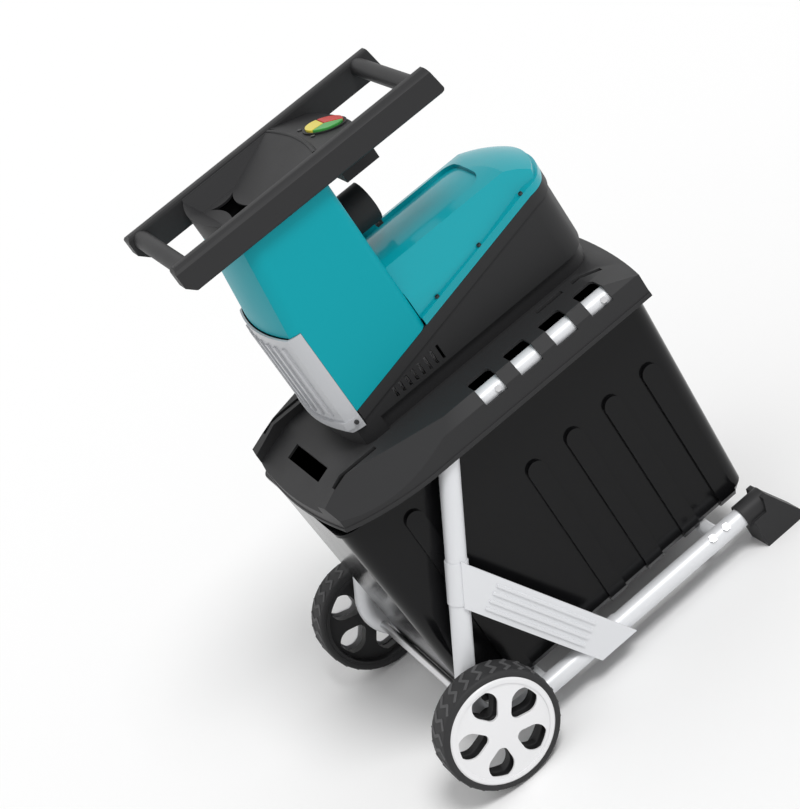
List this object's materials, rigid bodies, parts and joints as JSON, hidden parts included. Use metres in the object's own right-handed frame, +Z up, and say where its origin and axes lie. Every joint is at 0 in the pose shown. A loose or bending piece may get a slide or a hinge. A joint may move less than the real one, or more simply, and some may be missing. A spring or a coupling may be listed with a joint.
{
  "type": "garden shredder",
  "caption": "Wheeled electric garden shredder: star-shaped feed hole, geared cutter roller, teal hopper and motor cover, tube frame, pull-out collection box.",
  "frame": {"origin": "middle of the footprint, on the ground", "axes": "+Z up; +X from the wheels to the feet, the way the box pulls out; +Y to the side of the adjusting knob"},
  "size_m": [0.595, 0.469, 0.806],
  "materials": {
    "silver_paint": "satin silver powder coat",
    "steel": "zinc-plated or ground steel",
    "tyre_rubber": "moulded tread",
    "black_plastic": "fine grain, moulded",
    "box_plastic": "smooth, slightly shiny",
    "teal_plastic": "smooth, moulded in colour",
    "silver_plastic": "silver-coloured moulding",
    "green_plastic": "smooth",
    "red_plastic": "smooth",
    "yellow_plastic": "smooth",
    "cast_alloy": "die-cast",
    "tool_steel": "dark hardened steel",
    "winding": "lacquered laminations and winding",
    "can_alloy": "drawn can"
  },
  "bodies": {
    "base": {"side_tube_near": "silver_paint", "side_tube_far": "silver_paint", "gusset_near": "silver_paint", "gusset_far": "silver_paint", "cross_tube_rear": "silver_paint", "cross_tube_front": "silver_paint", "axle": "steel", "axle_spacers": "steel", "axle_caps": "steel", "foot_near": "black_plastic", "foot_far": "black_plastic", "frame_bolts": "steel", "deck_tray": "black_plastic", "lower_housing": "black_plastic", "motor_cover": "teal_plastic", "hopper_shell": "teal_plastic", "cutter_cover": "silver_plastic", "cover_screws": "steel", "top_frame": "black_plastic", "handle_bar_rear": "black_plastic", "handle_bar_front": "black_plastic", "feed_funnel": "black_plastic", "feed_chute": "black_plastic", "switch_console": "black_plastic", "switch_module": "black_plastic", "console_screws": "steel", "inlet_shroud": "black_plastic", "inlet_pins": "steel", "cutter_housing": "cast_alloy", "front_bearing": "steel", "rear_bearing": "steel", "gear_plate": "cast_alloy", "motor_stator": "winding", "rotor_bearing": "steel", "end_shield": "cast_alloy", "capacitor": "can_alloy"},
    "near_wheel": {"tyre_near": "tyre_rubber", "wheel_near": "black_plastic", "hubcap_near": "silver_plastic"},
    "far_wheel": {"tyre_far": "tyre_rubber", "wheel_far": "black_plastic", "hubcap_far": "silver_plastic"},
    "box": {"collection_box": "box_plastic"},
    "roller": {"cutter_roller": "tool_steel", "roller_shaft": "steel", "output_gear": "steel"},
    "layshaft": {"layshaft_gear": "steel"},
    "rotor": {"motor_rotor": "steel", "cooling_fan": "black_plastic"},
    "plate": {"pressure_plate": "tool_steel"},
    "knob": {"adjusting_knob": "black_plastic"},
    "start": {"start_button": "green_plastic"},
    "stop": {"stop_button": "red_plastic"},
    "reverse": {"reverse_button": "yellow_plastic"}
  },
  "joints": [
    {"name": "near_wheel_spin", "type": "hinge", "parent": "base", "child": "near_wheel", "pos_m": [-0.2125, -0.2125, 0.085], "axis": [0, 1, 0], "continuous": true},
    {"name": "far_wheel_spin", "type": "hinge", "parent": "base", "child": "far_wheel", "pos_m": [-0.2125, 0.2125, 0.085], "axis": [0, 1, 0], "continuous": true},
    {"name": "box_slide", "type": "slide", "parent": "base", "child": "box", "axis": [1, 0, 0], "range_m": [0, 0.5]},
    {"name": "roller_spin", "type": "hinge", "parent": "base", "child": "roller", "pos_m": [-0.0405, 0, 0.546], "axis": [1, 0, 0], "continuous": true},
    {"name": "layshaft_spin", "type": "hinge", "parent": "base", "child": "layshaft", "pos_m": [0.0475, 0.03818, 0.50782], "axis": [1, 0, 0], "continuous": true},
    {"name": "rotor_spin", "type": "hinge", "parent": "base", "child": "rotor", "pos_m": [0.1475, 0, 0.546], "axis": [1, 0, 0], "continuous": true},
    {"name": "knob_turn", "type": "hinge", "parent": "base", "child": "knob", "pos_m": [-0.0405, 0.1, 0.546], "axis": [0, 1, 0], "range_deg": [0, 722]},
    {"name": "plate_feed", "type": "slide", "parent": "base", "child": "plate", "axis": [0, -1, 0], "range_m": [0, 0.006]},
    {"name": "start_press", "type": "slide", "parent": "base", "child": "start", "axis": [-0.2924, 0, -0.9563], "range_m": [0, 0.003], "stiffness_N_per_m": 300},
    {"name": "stop_press", "type": "slide", "parent": "base", "child": "stop", "axis": [-0.2924, 0, -0.9563], "range_m": [0, 0.003], "stiffness_N_per_m": 300},
    {"name": "reverse_press", "type": "slide", "parent": "base", "child": "reverse", "axis": [-0.2924, 0, -0.9563], "range_m": [0, 0.003], "stiffness_N_per_m": 300}
  ],
  "couplings": [
    {"joint": "layshaft_spin", "follows": "roller_spin", "ratio": -5},
    {"joint": "rotor_spin", "follows": "roller_spin", "ratio": 25},
    {"joint": "knob_turn", "follows": "plate_feed", "rad_per_m": 2094.4}
  ]
}
